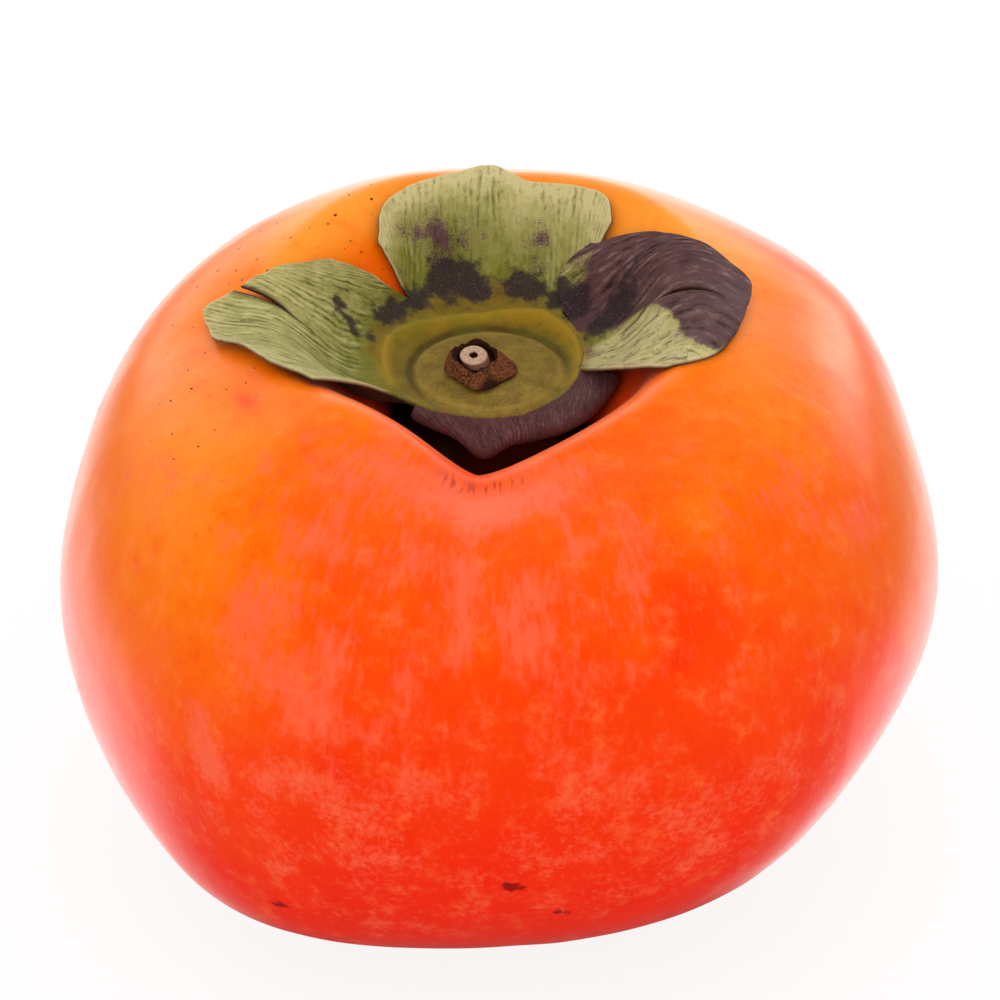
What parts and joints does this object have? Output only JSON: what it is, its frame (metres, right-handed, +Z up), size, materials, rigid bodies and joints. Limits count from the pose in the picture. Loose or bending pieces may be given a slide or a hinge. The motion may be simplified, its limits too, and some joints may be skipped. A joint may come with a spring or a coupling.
{
  "type": "persimmon",
  "caption": "Whole ripe persimmon of the wide, squarish kind with its lobed leafy calyx and a torn stalk stub, standing on its blossom end.",
  "frame": {"origin": "the middle of the footprint, at the surface the fruit stands on", "axes": "+Z up through the stalk, +X along the fruit's width, -Y towards the notch in its shoulder"},
  "size_m": [0.082, 0.0792, 0.06],
  "materials": {
    "skin": "smooth waxy orange skin with a soft gloss and a coral bloom",
    "calyx_leaf": "dry matt green leaf with purple-brown stains",
    "stalk_bark": "rough brown bark, torn at the rim",
    "stalk_wood": "dry pale broken wood"
  },
  "bodies": {
    "root": {"fruit_body": "skin", "calyx": "calyx_leaf", "stem_bark": "stalk_bark", "stem_wood": "stalk_wood"}
  },
  "joints": []
}
